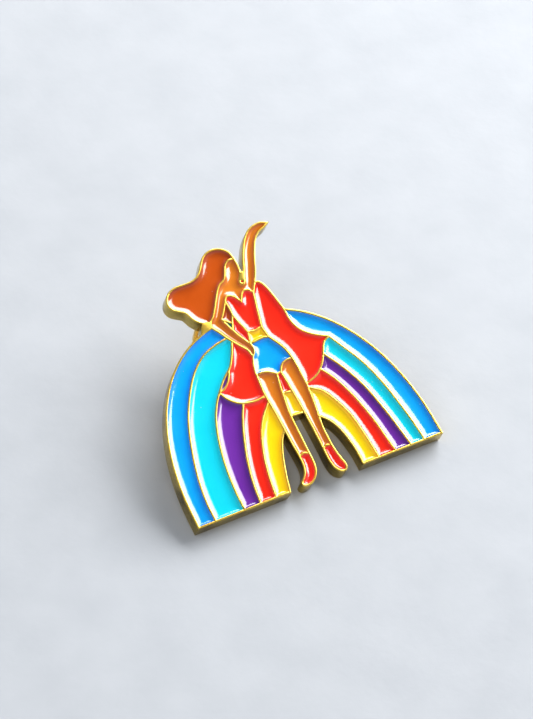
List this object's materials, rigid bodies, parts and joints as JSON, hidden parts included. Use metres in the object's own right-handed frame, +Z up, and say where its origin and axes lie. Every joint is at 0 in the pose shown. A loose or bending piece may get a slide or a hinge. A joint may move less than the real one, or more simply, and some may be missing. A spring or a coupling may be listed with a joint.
{
  "type": "enamel pin",
  "caption": "Gold-plated soft-enamel lapel pin: a caped dancer in front of a rainbow arch, with a post and butterfly clutch behind.",
  "frame": {"origin": "on the post's axis, where the bare shank leaves the post's pad behind the badge", "axes": "+Z up from the surface that the pin lies on, +X to the badge's right along its lower edge, +Y towards its raised upper end; the badge's face leans back by the resting tilt"},
  "size_m": [0.0322, 0.031, 0.0118],
  "materials": {
    "gold_plate": "bright gold plating over a die-struck plate",
    "clutch_brass": "bright gold plating on stamped sheet",
    "solder": "dull, plated over",
    "spring_steel": "drawn wire",
    "blue_enamel": "glossy baked soft enamel",
    "cyan_enamel": "glossy baked soft enamel",
    "purple_enamel": "glossy baked soft enamel",
    "red_enamel": "glossy baked soft enamel",
    "yellow_enamel": "glossy baked soft enamel",
    "teal_enamel": "glossy baked soft enamel",
    "brown_enamel": "glossy baked soft enamel",
    "skin_enamel": "glossy baked soft enamel"
  },
  "bodies": {
    "clutch": {"clutch_base": "clutch_brass", "clutch_cover": "clutch_brass", "clutch_spring": "spring_steel"},
    "badge": {"base_plate": "gold_plate", "post": "gold_plate", "solder": "solder", "enamel_blue_left": "blue_enamel", "enamel_cyan_left": "cyan_enamel", "enamel_purple_left": "purple_enamel", "enamel_purple_sliver": "purple_enamel", "enamel_red_left": "red_enamel", "enamel_yellow_left": "yellow_enamel", "enamel_red_middle": "red_enamel", "enamel_yellow_middle": "yellow_enamel", "enamel_blue_right": "blue_enamel", "enamel_cyan_right": "cyan_enamel", "enamel_purple_right": "purple_enamel", "enamel_red_right": "red_enamel", "enamel_yellow_right": "yellow_enamel", "enamel_teal": "teal_enamel", "enamel_hair": "brown_enamel", "enamel_hair_patch": "brown_enamel", "enamel_skin": "skin_enamel", "enamel_chin_drop": "red_enamel", "enamel_bodice": "red_enamel", "enamel_belt": "yellow_enamel", "enamel_shorts": "blue_enamel", "enamel_leg_left": "skin_enamel", "enamel_leg_right": "skin_enamel", "enamel_shoe_left": "red_enamel", "enamel_shoe_right": "red_enamel", "enamel_cape_right": "red_enamel", "enamel_cape_left": "red_enamel", "enamel_cape_upper": "red_enamel"},
    "left_jaw": {"jaw_wing_left": "clutch_brass"},
    "right_jaw": {"jaw_wing_right": "clutch_brass"}
  },
  "joints": [
    {"name": "badge_pull", "type": "slide", "parent": "clutch", "child": "badge", "axis": [0, -0.3119, 0.9501], "range_m": [-0.001, 0.008]},
    {"name": "left_wing_squeeze", "type": "slide", "parent": "clutch", "child": "left_jaw", "axis": [1, 0, 0], "range_m": [0, 0.0005], "stiffness_N_per_m": 50, "springref_m": -0.0001},
    {"name": "right_wing_squeeze", "type": "slide", "parent": "clutch", "child": "right_jaw", "axis": [-1, 0, 0], "range_m": [0, 0.0005], "stiffness_N_per_m": 50, "springref_m": -0.0001}
  ],
  "couplings": [
    {"joint": "right_wing_squeeze", "follows": "left_wing_squeeze", "ratio": 1}
  ]
}
